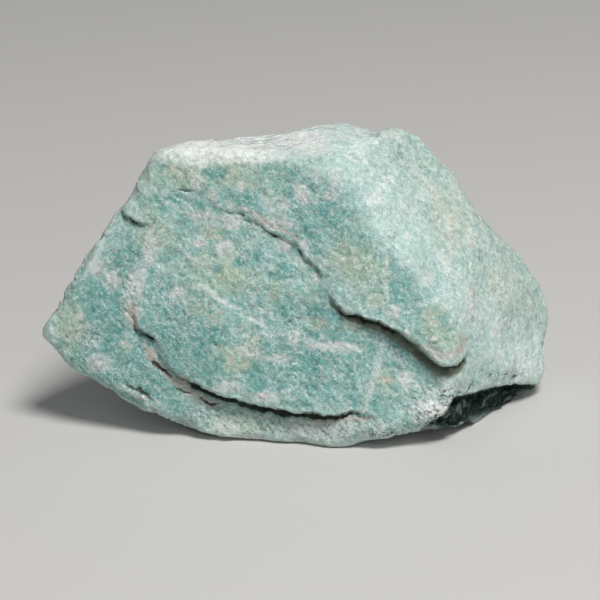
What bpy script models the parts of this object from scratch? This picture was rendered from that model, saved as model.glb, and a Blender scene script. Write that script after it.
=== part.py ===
"""Rough amazonite: one broken lump of green feldspar, 92 mm wide, resting on a small flat spot.

The lump is worked out in the frame of its broad front face, in millimetres: across (to the right),
up (along the face) and deep (into the stone). The finished lump is leaned back onto its foot, and
stands with the bottom centre of its bounding box at the origin, front face towards -Y.
"""

import math

import bmesh
import bpy
import numpy as np
from mathutils import Matrix, Vector, noise

NAME = "amazonite"
MM = 0.001

# How the front face lies: leaned back from upright, and the distance it is looked at from
LEAN_DEG = 20.0
EYE_MM = 550.0

# Outline of the lump as it is seen square to the front face, clockwise from the nose at the left
OUTLINE = [
    (-48.4, -6.7), (-47.6, -5.1), (-45.7, -2.9), (-43.6, -1.1), (-43.8, 0.2), (-40.1, 5.4),
    (-37.7, 9.9), (-33.5, 15.8), (-30.0, 20.7), (-27.9, 24.2), (-25.9, 26.6), (-23.1, 27.5),
    (-19.9, 28.4), (-13.7, 29.0), (-5.3, 30.1), (3.6, 31.3), (7.3, 31.4), (10.1, 31.2),
    (13.3, 30.2), (14.3, 30.8), (16.7, 31.1), (17.9, 31.7), (19.2, 31.8), (20.9, 31.3),
    (24.4, 29.3), (26.2, 26.0), (28.1, 22.5), (30.9, 17.7), (33.4, 14.4), (36.8, 10.8),
    (37.9, 9.5), (39.3, 8.9), (40.9, 6.6), (41.5, 5.5), (44.5, 1.6), (45.3, -0.8),
    (45.1, -4.4), (44.5, -8.0), (44.8, -11.3), (44.0, -15.3), (43.6, -16.6), (44.3, -18.7),
    (41.3, -20.8), (38.7, -21.5), (35.5, -22.5), (32.9, -23.3), (27.1, -23.8), (20.2, -24.3),
    (16.2, -25.3), (11.8, -25.7), (7.3, -27.2), (0.0, -26.4), (-6.4, -25.7), (-13.9, -25.3),
    (-17.5, -24.7), (-20.3, -23.3), (-25.9, -20.8), (-28.6, -20.3), (-31.5, -18.3),
    (-34.2, -15.8), (-38.7, -13.6), (-41.5, -13.0), (-43.9, -10.0), (-46.7, -7.5),
]
BLOCK_FRONT = -12.0
BLOCK_BACK = 58.0

# Breaks that bound the lump: name, turned right, turned up (degrees), and a point on the break
BREAKS = [
    ("front cleavage", -6, 5, (0.0, 0.0, 0.0)),
    ("right shoulder", 42, 29, (19.6, 6.0, -1.5)),
    ("right flank", 50, 26, (31.3, 0.4, 4.9)),
    ("right foot", 56, 2, (31.0, -5.0, 1.5)),
    ("top", 1, 67, (-5.0, 26.3, 2.9)),
    ("top corner", -40, 36, (-26.2, 25.6, 4.6)),
    ("back left upper", -132, 26, (-36.5, 13.5, 8.5)),
    ("back left lower", -118, 2, (-44.6, -3.0, 12.0)),
    ("back slope", 170, 40, (6.0, 31.6, 22.5)),
    ("back", -172, -3, (0.0, 0.0, 41.0)),
    ("back hip", 156, 12, (24.0, 4.0, 37.5)),
    ("back right", 122, 8, (45.8, -3.0, 29.0)),
]

# Breaks underneath, as the stone stands: name, direction, and a point (right, back, up)
UNDERSIDE = [
    ("under front", (-0.05, -0.17, -0.984), (-14.0, -6.3, -25.0)),
    ("under left", (-0.50, 0.06, -0.864), (-31.8, -0.6, -19.6)),
    ("under left heel", (-0.15, 0.04, -0.988), (-9.0, 6.0, -25.5)),
    ("under nose", (-0.30, 0.42, -0.86), (-36.0, 16.0, -15.5)),
    ("under right", (0.08, -0.02, -0.9966), (24.0, 8.0, -25.5)),
    ("under back", (0.05, 0.36, -0.932), (0.0, 37.0, -20.5)),
]
FOOT_LEVEL = -25.5

# Voxels of the solid, how far its edges are worn round, and the faces that it is brought down to
VOXEL_MM = 0.6
WEAR_STEPS = 4
FACES = 9700

# Swells of the broken surface: size of a swell and its height
SWELLS = [(17.0, 0.8), (7.5, 0.4), (3.2, 0.14)]

# Ledges: points along the lip (across, up, drop beyond it), how far the drop reaches, and how much
# further it leans in for each mm. What drops is to the right of the lip as its points are followed.
FRONT_LEDGES = {
    "upper plate": {
        "lip": [
            (-24.5, 19.8, 0.0), (-21.8, 20.1, 0.45), (-17.6, 19.4, 0.5), (-16.2, 17.5, 0.3),
            (-12.9, 16.1, 0.4), (-10.9, 16.0, 0.5), (-10.2, 14.9, 0.5), (-6.7, 13.3, 0.7),
            (-5.1, 11.9, 0.8), (-2.4, 11.1, 0.9), (-0.7, 9.9, 1.0), (1.3, 7.2, 1.1),
            (3.5, 5.2, 1.1), (4.5, 3.5, 0.8), (5.5, 0.3, 1.2), (7.5, -1.6, 1.8),
            (9.5, -2.7, 2.1), (12.0, -3.5, 2.4), (14.7, -4.4, 2.6), (17.6, -5.6, 2.8),
            (20.4, -7.5, 3.0), (22.7, -9.6, 3.1), (25.1, -11.7, 3.2), (26.9, -12.4, 3.0),
            (28.2, -12.0, 2.6), (29.6, -10.8, 2.0), (30.9, -9.0, 0.6), (31.6, -8.0, 0.0),
        ],
        "reach": 15.0,
        "lean": 0.0,
    },
    "middle plate": {
        "lip": [
            (-34.0, 17.6, 0.0), (-32.8, 16.3, 1.2), (-31.4, 15.2, 1.5), (-29.8, 14.2, 1.4),
            (-27.6, 13.6, 0.7), (-28.3, 10.7, 0.6), (-28.6, 7.5, 0.8), (-30.8, 3.5, 0.9),
            (-31.9, 1.4, 0.9), (-31.4, -0.4, 0.8), (-30.4, -2.2, 0.9), (-29.7, -5.1, 1.4),
            (-26.7, -6.9, 1.7), (-25.8, -9.3, 1.4), (-24.2, -12.2, 1.6), (-22.3, -13.6, 1.8),
            (-19.6, -15.0, 2.3), (-16.2, -16.8, 2.9), (-13.5, -17.8, 3.1), (-10.0, -18.7, 3.3),
            (-6.4, -19.6, 3.3), (-2.4, -20.4, 3.2), (2.0, -20.8, 2.8), (6.0, -21.2, 2.0),
            (8.8, -20.8, 1.1), (11.6, -21.1, 0.6), (15.0, -21.8, 0.0),
        ],
        "reach": 24.0,
        "lean": 0.0,
    },
    "flank seam": {
        "lip": [
            (28.5, -17.0, 0.0), (30.6, -11.0, 1.0), (31.2, -6.0, 1.6), (31.6, -1.0, 1.4),
            (31.9, 3.0, 1.0), (30.8, 7.5, 0.5), (29.8, 11.0, 0.0),
        ],
        "reach": 6.0,
        "lean": 0.0,
    },
    "right hollow": {
        "lip": [
            (14.5, -25.6, 0.0), (18.5, -24.3, 1.0), (23.8, -22.3, 1.8), (26.9, -20.4, 2.4),
            (27.8, -17.9, 2.8), (31.5, -17.0, 2.9), (35.3, -15.8, 3.0), (39.0, -15.2, 2.4),
            (42.6, -15.5, 1.0), (46.0, -16.4, 0.0),
        ],
        "reach": 20.0,
        "lean": 0.72,
    },
}
BACK_LEDGES = {
    "back plate": {
        "lip": [
            (30.0, 20.0, 0.0), (22.0, 15.5, 1.2), (15.0, 14.2, 2.0), (8.0, 9.6, 2.3),
            (1.5, 8.4, 1.6), (-5.0, 4.0, 2.2), (-11.0, -1.5, 2.4), (-14.5, -8.5, 1.6),
            (-21.0, -12.0, 0.0),
        ],
        "reach": 18.0,
        "lean": 0.0,
    },
    "heel plate": {
        "lip": [
            (40.0, 3.5, 0.0), (33.0, -0.6, 1.0), (26.0, -2.0, 1.7), (19.5, -6.4, 1.6),
            (11.0, -8.0, 1.2), (4.0, -13.5, 0.0),
        ],
        "reach": 10.0,
        "lean": 0.0,
    },
}
LIP_WIDTH = 0.9
FOLLOW_MM = 12.0

# Rubble of small crystals in the right hollow: middle, half lengths, size and height of a crystal
RUBBLE = {"middle": (37.0, -19.5), "half": (11.0, 4.6), "size": 2.8, "height": 0.9}

# Chips broken from the edges: how many, how far apart, their reach and depth
CHIPS = {"count": 60, "apart": 6.0, "reach": (3.5, 7.5), "depth": (0.4, 1.1), "seed": 5}

# The plates of the front face, whose lips stay whole: half lengths and depth
PLATES = {"half": (33.0, 23.0), "deep": 8.0}

STONE_COLOUR = (0.27, 0.50, 0.41, 1.0)
STONE_ROUGHNESS = 0.55


def clear_scene():
    for item in list(bpy.data.objects):
        bpy.data.objects.remove(item, do_unlink=True)


def new_collection(name):
    made = bpy.data.collections.new(name)
    bpy.context.scene.collection.children.link(made)
    return made


def facing(right_deg, up_deg):
    """Outward direction of a break turned right and up from the viewer, in the face frame."""
    right, up = math.radians(right_deg), math.radians(up_deg)
    return Vector((math.sin(right) * math.cos(up), math.sin(up), -math.cos(right) * math.cos(up)))


def seen(across, up, deep):
    """The point at that depth on the line of sight through a point of the front face."""
    spread = 1.0 + deep / EYE_MM
    return Vector((across * spread, up * spread, deep))


def standing(right, back, up):
    """A point or direction of the standing stone, in the face frame."""
    lean = math.radians(LEAN_DEG)
    up_face = back * math.sin(lean) + up * math.cos(lean)
    return Vector((right, up_face, back * math.cos(lean) - up * math.sin(lean)))


def outline_block():
    """The outline carried from front to back along the lines of sight."""
    curve = bpy.data.curves.new("outline", "CURVE")
    curve.dimensions = "2D"
    curve.fill_mode = "BOTH"
    curve.extrude = (BLOCK_BACK - BLOCK_FRONT) / 2
    spline = curve.splines.new("POLY")
    spline.points.add(len(OUTLINE) - 1)
    for point, (across, up) in zip(spline.points, OUTLINE):
        point.co = (across, up, 0.0, 1.0)
    spline.use_cyclic_u = True
    flat = bpy.data.objects.new("outline", curve)
    bpy.context.scene.collection.objects.link(flat)
    bpy.context.view_layer.update()
    mesh = bpy.data.meshes.new_from_object(flat.evaluated_get(bpy.context.evaluated_depsgraph_get()))
    bpy.data.objects.remove(flat)

    block = bmesh.new()
    block.from_mesh(mesh)
    bmesh.ops.remove_doubles(block, verts=block.verts, dist=0.01)
    middle = (BLOCK_BACK + BLOCK_FRONT) / 2
    for vert in block.verts:
        vert.co = seen(vert.co.x, vert.co.y, vert.co.z + middle)
    bmesh.ops.recalc_face_normals(block, faces=block.faces)
    return block


def split_off(block, point, outward):
    """Breaks off what lies beyond a plane, and closes the face that is left."""
    everything = list(block.verts) + list(block.edges) + list(block.faces)
    bmesh.ops.bisect_plane(
        block, geom=everything, dist=1e-4, plane_co=point, plane_no=outward, clear_outer=True
    )
    bmesh.ops.holes_fill(block, edges=block.edges)


def mesh_from(block, name):
    mesh = bpy.data.meshes.new(name)
    bmesh.ops.recalc_face_normals(block, faces=block.faces)
    block.to_mesh(mesh)
    block.free()
    return mesh


def add_object(mesh, name, collection):
    made = bpy.data.objects.new(name, mesh)
    collection.objects.link(made)
    return made


def settled(stone):
    """The stone's mesh with its modifiers worked in."""
    bpy.context.view_layer.update()
    graph = bpy.context.evaluated_depsgraph_get()
    mesh = bpy.data.meshes.new_from_object(stone.evaluated_get(graph))
    stone.modifiers.clear()
    old = stone.data
    stone.data = mesh
    bpy.data.meshes.remove(old)


def remesh(stone):
    """Rebuilds the skin of the solid as small even squares."""
    skin = stone.modifiers.new("skin", "REMESH")
    skin.mode = "VOXEL"
    skin.voxel_size = VOXEL_MM
    settled(stone)


def points_of(mesh):
    points = np.empty(len(mesh.vertices) * 3, np.float32)
    mesh.vertices.foreach_get("co", points)
    return points.reshape(-1, 3).astype(float)


def normals_of(mesh):
    normals = np.empty(len(mesh.vertices) * 3, np.float32)
    mesh.vertices.foreach_get("normal", normals)
    return normals.reshape(-1, 3).astype(float)


def put_points(mesh, points):
    mesh.vertices.foreach_set("co", points.astype(np.float32).ravel())
    mesh.update()


def swell(stone):
    """Uneven fracture: the surface rises and falls along its normals."""
    points, normals = points_of(stone.data), normals_of(stone.data)
    for size, height in SWELLS:
        rise = [noise.noise(Vector(p) / size + Vector((size, 0, 0))) for p in points]
        points += normals * (np.array(rise) * height)[:, None]
    put_points(stone.data, points)


def chip_edges(stone):
    """Knocks small flat chips off the sharpest edges and corners."""
    points, normals = points_of(stone.data), normals_of(stone.data)
    edges = np.empty(len(stone.data.edges) * 2, np.int32)
    stone.data.edges.foreach_get("vertices", edges)
    first, second = edges.reshape(-1, 2).T
    ways = np.bincount(first, minlength=len(points)) + np.bincount(second, minlength=len(points))
    smooth = points.copy()
    for _ in range(14):
        total = np.zeros_like(smooth)
        np.add.at(total, first, smooth[second])
        np.add.at(total, second, smooth[first])
        smooth = total / ways[:, None]
    sharpness = ((points - smooth) * normals).sum(1)

    dice = np.random.default_rng(CHIPS["seed"])
    across, up = points[:, 0] / PLATES["half"][0], points[:, 1] / PLATES["half"][1]
    sharpness[(np.hypot(across, up) < 1) & (points[:, 2] < PLATES["deep"])] = 0.0
    places = np.argsort(-sharpness * dice.uniform(0.5, 1.0, len(points)))
    chosen = []
    for index in places[: len(points) // 6]:
        if all(np.linalg.norm(points[index] - points[other]) > CHIPS["apart"] for other in chosen):
            chosen.append(index)
        if len(chosen) == CHIPS["count"]:
            break
    for index in chosen:
        outward = normals[index] + dice.normal(0.0, 0.22, 3)
        outward /= np.linalg.norm(outward)
        reach, depth = dice.uniform(*CHIPS["reach"]), dice.uniform(*CHIPS["depth"])
        away = np.linalg.norm(points - points[index], axis=1)
        height = (points - points[index]) @ outward
        cut = np.clip(height - height[away < reach / 2].max() + depth, 0, depth)
        points -= outward * (cut * smooth_step((reach - away) / (0.6 * reach)))[:, None]
    put_points(stone.data, points)


def beside(points, lip):
    """For each point (across, up): signed distance below the lip line, and the drop there.

    Below is to the right of the line's direction of travel as the face is looked at.
    """
    lip = np.array(lip, float)
    best = np.full(len(points), 1e9)
    signed = np.zeros(len(points))
    drop = np.zeros(len(points))
    for a, b in zip(lip[:-1], lip[1:]):
        run = b[:2] - a[:2]
        share = np.clip(((points - a[:2]) @ run) / (run @ run), 0, 1)
        away = points - (a[:2] + share[:, None] * run)
        distance = np.hypot(away[:, 0], away[:, 1])
        side = run[1] * away[:, 0] - run[0] * away[:, 1]
        nearer = distance < best - 1e-9
        best = np.where(nearer, distance, best)
        signed = np.where(nearer, np.sign(side) * distance, signed)
        drop = np.where(nearer, a[2] + share * (b[2] - a[2]), drop)
    return signed, drop


def smooth_step(value):
    value = np.clip(value, 0.0, 1.0)
    return value * value * (3.0 - 2.0 * value)


def behind_face(points, inward):
    """How far each point lies behind the broken face it is seen through, from front or back."""
    face = np.full(len(points), -1e9)
    for _, right, up, point in BREAKS:
        outward, at = facing(right, up), seen(*point)
        if outward.z * inward > -0.2:
            continue
        slope = outward.x * (points[:, 0] - at.x) + outward.y * (points[:, 1] - at.y)
        face = np.maximum(face, inward * (at.z - slope / outward.z))
    return inward * points[:, 2] - face


def cut_ledges(stone, ledges, inward):
    """Sets the surface beyond each lip back into the stone. The inside follows, fading out."""
    points = points_of(stone.data)
    spread = 1.0 + points[:, 2] / EYE_MM
    flat = points[:, :2] / spread[:, None]
    follows = 1.0 - smooth_step((behind_face(points, inward) - 2.0) / FOLLOW_MM)
    set_back = np.zeros(len(points))
    for ledge in ledges.values():
        lip = ledge["lip"] if inward > 0 else ledge["lip"][::-1]
        beyond, drop = beside(flat, lip)
        step = smooth_step(beyond / LIP_WIDTH + 0.5)
        far = np.clip(beyond, 0, None)
        fade = np.exp(-((far / ledge["reach"]) ** 2))
        leaning = ledge["lean"] * np.clip(far, 0, 7.0) * np.clip(drop / 2.0, 0, 1)
        set_back += (drop * fade + leaning) * step
    points[:, 2] += inward * set_back * follows
    put_points(stone.data, points)


def heap_rubble(stone):
    """Small blocky crystals in the hollow under the right flank."""
    points = points_of(stone.data)
    spread = 1.0 + points[:, 2] / EYE_MM
    away = (points[:, :2] / spread[:, None] - RUBBLE["middle"]) / RUBBLE["half"]
    inside = smooth_step((1.0 - np.hypot(away[:, 0], away[:, 1])) / 0.3)
    inside *= 1.0 - smooth_step((behind_face(points, 1.0) - 8.0) / 8.0)
    for index in np.flatnonzero(inside > 0.01):
        near, _ = noise.voronoi(Vector(points[index]) / RUBBLE["size"])
        block = min(near[1] - near[0], 0.4) / 0.4 - 0.6
        points[index][2] -= block * RUBBLE["height"] * inside[index]
    put_points(stone.data, points)


def lean_back(mesh):
    """Turns the stone from the face frame to standing, still in millimetres."""
    upright = Matrix(((1, 0, 0, 0), (0, 0, 1, 0), (0, 1, 0, 0), (0, 0, 0, 1)))
    tip = Matrix.Rotation(math.radians(-LEAN_DEG), 4, "X")
    mesh.transform(tip @ upright)
    mesh.flip_normals()


def cut_foot(mesh):
    """Cuts the flat foot, sets the bottom centre of the bounding box on the origin, goes to metres."""
    block = bmesh.new()
    block.from_mesh(mesh)
    split_off(block, Vector((0, 0, FOOT_LEVEL)), Vector((0, 0, -1)))
    bmesh.ops.dissolve_degenerate(block, edges=block.edges, dist=0.01)
    corners = np.array([vert.co for vert in block.verts])
    low, high = corners.min(0), corners.max(0)
    middle = Vector(((low[0] + high[0]) / 2, (low[1] + high[1]) / 2, low[2]))
    block.transform(Matrix.Scale(MM, 4) @ Matrix.Translation(-middle))
    bmesh.ops.triangulate(block, faces=block.faces)
    block.to_mesh(mesh)
    block.free()
    print("face frame's middle stands at", [round(-x, 2) for x in middle], "mm")


def stone_material():
    made = bpy.data.materials.new("amazonite")
    made.use_nodes = True
    shader = made.node_tree.nodes["Principled BSDF"]
    shader.inputs["Base Color"].default_value = STONE_COLOUR
    shader.inputs["Roughness"].default_value = STONE_ROUGHNESS
    shader.inputs["Metallic"].default_value = 0.0
    made.diffuse_color = STONE_COLOUR
    return made


def build():
    clear_scene()
    parts = new_collection("rough_amazonite")

    block = outline_block()
    for _, right, up, point in BREAKS:
        split_off(block, seen(*point), facing(right, up))
    for _, direction, point in UNDERSIDE:
        split_off(block, standing(*point), standing(*direction))
    stone = add_object(mesh_from(block, NAME), NAME, parts)

    remesh(stone)
    wear = stone.modifiers.new("wear", "SMOOTH")
    wear.iterations = WEAR_STEPS
    settled(stone)
    cut_ledges(stone, FRONT_LEDGES, 1.0)
    cut_ledges(stone, BACK_LEDGES, -1.0)
    heap_rubble(stone)
    remesh(stone)
    soften = stone.modifiers.new("soften", "SMOOTH")
    soften.iterations = 1
    settled(stone)
    swell(stone)
    chip_edges(stone)

    fewer = stone.modifiers.new("fewer", "DECIMATE")
    fewer.ratio = FACES / sum(len(face.vertices) - 2 for face in stone.data.polygons)
    settled(stone)
    lean_back(stone.data)
    cut_foot(stone.data)

    stone.data.materials.append(stone_material())
    stone.data.shade_smooth()
    stone.data.set_sharp_from_angle(angle=math.radians(40))


build()
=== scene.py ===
"""Rough amazonite: the fine broken surface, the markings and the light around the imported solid."""

import math

import bmesh
import bpy
import numpy as np
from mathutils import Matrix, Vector


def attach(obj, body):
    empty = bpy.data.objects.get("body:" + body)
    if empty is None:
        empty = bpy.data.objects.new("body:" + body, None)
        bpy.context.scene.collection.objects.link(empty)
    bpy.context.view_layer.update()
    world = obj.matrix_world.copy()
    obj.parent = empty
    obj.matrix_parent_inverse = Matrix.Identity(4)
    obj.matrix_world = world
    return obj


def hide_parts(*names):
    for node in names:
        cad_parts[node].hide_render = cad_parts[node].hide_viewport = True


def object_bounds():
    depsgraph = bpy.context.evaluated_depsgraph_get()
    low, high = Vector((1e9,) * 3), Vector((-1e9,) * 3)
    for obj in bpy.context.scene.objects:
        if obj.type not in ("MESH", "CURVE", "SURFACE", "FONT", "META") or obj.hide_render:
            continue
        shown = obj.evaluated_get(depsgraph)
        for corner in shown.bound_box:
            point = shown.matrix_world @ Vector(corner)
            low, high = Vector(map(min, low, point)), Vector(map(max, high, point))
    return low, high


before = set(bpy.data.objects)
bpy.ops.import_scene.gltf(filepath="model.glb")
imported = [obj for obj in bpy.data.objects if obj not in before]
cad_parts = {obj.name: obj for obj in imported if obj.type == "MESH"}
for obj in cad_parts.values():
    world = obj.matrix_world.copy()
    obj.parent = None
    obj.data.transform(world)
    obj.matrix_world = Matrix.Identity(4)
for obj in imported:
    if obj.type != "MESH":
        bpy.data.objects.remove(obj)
cad_low, cad_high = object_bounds()

MM = 0.001

# How the front face lies: its middle in the row frame (mm), its lean, and the eye's distance
FACE_MIDDLE = (0.17, -16.56, 25.5)
LEAN = math.radians(20.0)
EYE_MM = 550.0
PICTURE_MM = 600 / 5.5
UPWARD = np.array([0.0, math.sin(LEAN), math.cos(LEAN)])
INWARD = np.array([0.0, math.cos(LEAN), -math.sin(LEAN)])

# Sizes of the squares of the skin while it is shaped, and the triangles it ends with
COARSE_MM = 0.45
FINE_MM = 0.27
MOST_TRIANGLES = 190000

# Rounds of evening out after each new skin, and for finding worn edges and small nicks
COARSE_ROUNDS = 6
FINE_ROUNDS = 2
EDGE_ROUNDS = 40
NICK_ROUNDS = 5

# The feldspar's thin layers lie square to this direction of the row frame
LAYERS = np.array([0.384, -0.507, 0.772])

# Ledges of the front face: points along the lip (across, up, drop, crack) in mm. What drops is to
# the right of the lip as its points are followed. Crack is how open the lip's foot is.
UPPER_LIP = [
    (-24.6, 19.7, 0.0, 0.0), (-23.0, 20.0, 0.3, 0.7), (-21.8, 20.1, 0.5, 1.0),
    (-19.4, 19.6, 0.5, 1.0), (-17.6, 19.4, 0.5, 1.0), (-16.9, 18.9, 0.4, 0.3),
    (-16.2, 17.5, 0.3, 0.4), (-14.6, 16.4, 0.4, 0.4), (-12.9, 16.1, 0.4, 1.0),
    (-10.9, 16.0, 0.5, 0.9), (-10.2, 14.9, 0.5, 0.7), (-8.4, 14.3, 0.6, 0.8),
    (-6.7, 13.3, 0.7, 0.8), (-5.1, 11.9, 0.8, 0.9), (-2.4, 11.0, 0.9, 0.9),
    (-0.7, 9.9, 1.0, 0.8), (1.3, 7.2, 1.1, 0.7), (3.5, 5.2, 1.1, 0.6), (4.5, 3.5, 0.8, 0.1),
    (5.0, 2.0, 0.8, 0.05), (5.5, 0.4, 1.0, 0.4), (7.5, -1.6, 1.8, 1.0), (9.5, -2.7, 2.1, 1.0),
    (12.0, -3.5, 2.4, 1.0),
    (14.7, -4.4, 2.6, 0.9), (17.6, -5.6, 2.8, 0.5), (20.4, -7.5, 3.0, 0.3),
    (22.7, -9.6, 3.1, 0.3), (25.1, -11.7, 3.2, 0.35), (26.9, -12.4, 3.0, 0.5),
    (28.2, -12.0, 2.6, 0.7), (29.6, -10.8, 2.0, 0.8), (30.9, -9.0, 0.6, 0.2),
    (31.6, -8.0, 0.0, 0.0),
]
MIDDLE_LIP = [
    (-34.0, 17.6, 0.0, 0.0), (-32.8, 16.3, 1.2, 0.6), (-31.4, 15.2, 1.5, 1.0),
    (-29.8, 14.2, 1.4, 1.0), (-27.6, 13.6, 0.7, 0.1), (-28.3, 10.7, 0.6, 0.0),
    (-28.6, 7.5, 0.8, 0.0), (-30.8, 3.5, 0.9, 0.0), (-31.9, 1.4, 0.9, 0.0),
    (-31.4, -0.4, 0.8, 0.1), (-30.4, -2.2, 0.9, 0.2), (-29.7, -5.1, 1.4, 0.7),
    (-28.4, -6.2, 1.6, 0.9), (-26.7, -6.9, 1.7, 0.9), (-26.2, -8.0, 1.4, 0.15),
    (-25.8, -9.3, 1.4, 0.15), (-25.6, -10.8, 1.5, 0.2), (-24.2, -12.2, 1.6, 0.3),
    (-22.3, -13.6, 1.8, 0.4), (-19.6, -15.0, 2.3, 0.7), (-16.2, -16.8, 2.9, 1.0),
    (-13.5, -17.8, 3.1, 1.0), (-10.0, -18.7, 3.3, 1.0), (-6.4, -19.6, 3.3, 1.0),
    (-2.4, -20.4, 3.2, 1.0), (2.0, -20.8, 2.8, 1.0), (6.0, -21.2, 2.0, 1.0),
    (8.8, -20.8, 1.1, 1.0), (11.6, -21.1, 0.6, 0.9), (15.0, -21.8, 0.0, 0.0),
]
FLANK_SEAM = [
    (28.5, -17.0, 0.0, 0.0), (30.6, -11.0, 1.0, 0.0), (31.2, -6.0, 1.6, 0.0),
    (31.6, -1.0, 1.4, 0.0), (31.9, 3.0, 1.0, 0.0), (30.9, 7.5, 0.5, 0.0), (29.8, 11.0, 0.0, 0.0),
]
HOLLOW_LIP = [
    (23.8, -22.3, 1.8, 0.3), (26.9, -20.4, 2.4, 0.6), (27.8, -17.9, 2.8, 0.8),
    (31.5, -17.0, 2.9, 0.9), (35.3, -15.8, 3.0, 1.0), (39.0, -15.2, 2.4, 1.0),
    (42.6, -15.5, 1.0, 0.8), (46.0, -16.4, 0.0, 0.0),
]
LIPS = [UPPER_LIP, MIDDLE_LIP, FLANK_SEAM, HOLLOW_LIP]

# Riser widths in mm: where a crack runs under the lip, where none does, and in the solid
CRISP_MM = 0.4
GENTLE_MM = 6.0
SOLID_MM = 2.4

# The ridge between the front and the right flank, worn round: across, up, half width in mm
RIDGE = [(6.8, 27.5, 3.5), (11.5, 19.5, 4.5), (17.0, 10.5, 5.0), (24.0, 0.5, 4.5), (29.5, -7.0, 2.5)]
RIDGE_ROUNDS = 90

# Hairline cracks of the front face: points (across, up, depth) in mm
HAIRLINES = [
    [(-27.9, -10.6, 0.0), (-26.4, -11.6, 0.5), (-24.8, -13.0, 0.5), (-23.4, -14.0, 0.3)],
    [(-26.6, 19.3, 0.0), (-26.1, 18.1, 0.2), (-25.6, 16.8, 0.15), (-25.3, 16.0, 0.0)],
    [(-33.0, -14.4, 0.0), (-31.4, -15.4, 0.3), (-28.6, -16.8, 0.4), (-26.4, -18.4, 0.2)],
    [(-23.6, -15.2, 0.0), (-22.0, -16.2, 0.4), (-20.4, -16.9, 0.4), (-18.6, -17.4, 0.0)],
    [(-18.8, -17.4, 0.0), (-17.4, -18.4, 0.4), (-15.8, -19.0, 0.4), (-14.8, -18.4, 0.2)],
    [(-28.0, -20.0, 0.0), (-25.6, -21.0, 0.4), (-22.6, -22.4, 0.3), (-20.0, -23.2, 0.0)],
    [(31.9, -13.4, 0.0), (31.3, -14.6, 0.3), (30.6, -15.8, 0.4), (30.0, -17.2, 0.2)],
    [(30.8, 7.4, 0.0), (31.4, 4.6, 0.12), (31.8, 1.0, 0.12), (31.6, -1.0, 0.0)],
]
HAIRLINE_MM = 0.28
# Width of the dark line along a hairline: dirt with painted shade
HAIRLINE_DIRT_AND_SHADE_MM = 0.3

# How far the lines of the front wander: the size and reach of their bends and of their small jags
LIP_BENDS = {"size": 2.4, "seed": 11, "reach": 0.5}
HAIRLINE_BENDS = {"size": 2.0, "seed": 21, "reach": 0.4}
STEP_BENDS = {"size": 2.0, "seed": 31, "reach": 0.35}
FLAKE_BENDS = {"size": 0.9, "seed": 41, "reach": 0.35}
JAG_MM = 1.4
JAG_REACH = 0.16

# How far below its lip the dark hollow reaches
HOLLOW_REACH_MM = 6.5

# Markings of the front face. Patches are (across, up, half width, half height) in mm.
POOLS = [
    (-25.5, 24.8, 1.2, 0.9), (-15.5, 23.2, 2.2, 1.3), (-6.5, 24.8, 1.5, 1.2),
    (-0.6, 24.4, 1.6, 2.5), (-22.5, 18.3, 1.3, 1.0), (-2.2, 19.7, 1.1, 0.8),
    (-9.0, 18.0, 1.3, 1.2), (2.5, 20.3, 1.2, 0.9), (0.0, 16.0, 1.5, 1.1),
    (5.2, 16.2, 1.7, 2.0), (8.8, 17.6, 2.8, 2.0), (1.4, 13.2, 1.6, 0.7),
    (7.4, 12.4, 1.2, 1.2), (11.6, 11.2, 2.5, 1.9), (14.8, 8.6, 1.4, 1.1),
    (17.4, 6.9, 0.9, 1.2), (20.5, 3.5, 1.4, 1.4), (22.6, 1.0, 2.0, 1.2),
    (-8.2, 7.8, 1.3, 2.2), (-2.6, 5.2, 2.6, 1.3), (-15.2, 5.9, 1.0, 0.9),
    (-11.2, 6.8, 1.0, 1.0), (-26.7, 1.0, 1.3, 1.2), (-23.4, -2.4, 2.4, 1.2),
    (-21.2, -4.9, 1.7, 0.9), (-23.2, -7.0, 2.2, 1.5), (-15.4, -6.4, 1.9, 1.6),
    (-12.2, -7.4, 2.0, 1.1), (-14.8, -11.5, 1.2, 1.5), (-8.4, -13.6, 1.8, 1.3),
    (-2.2, -2.6, 1.3, 2.2), (3.0, -1.9, 1.9, 1.3), (1.9, -6.6, 1.8, 1.0),
    (1.6, -10.6, 3.0, 1.1), (5.0, -11.6, 1.7, 1.2), (8.5, -13.6, 1.2, 1.2),
    (2.4, -14.4, 1.3, 2.6), (-2.2, -12.8, 2.6, 0.9), (-0.6, -18.8, 2.6, 1.0),
    (8.8, -18.5, 1.2, 1.2), (13.6, -18.3, 1.2, 1.3), (10.8, -10.5, 1.8, 1.0),
    (16.8, -7.6, 1.0, 2.0), (-33.3, 7.2, 1.4, 1.1), (-39.2, 0.8, 1.3, 1.1),
    (-37.0, -2.3, 2.1, 1.5), (-38.1, -6.2, 1.0, 0.8), (-34.4, -6.6, 1.3, 1.1),
    (-32.2, -14.0, 1.7, 1.5), (-31.0, 8.8, 2.0, 1.5), (26.2, -3.6, 1.2, 1.2),
]
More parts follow.
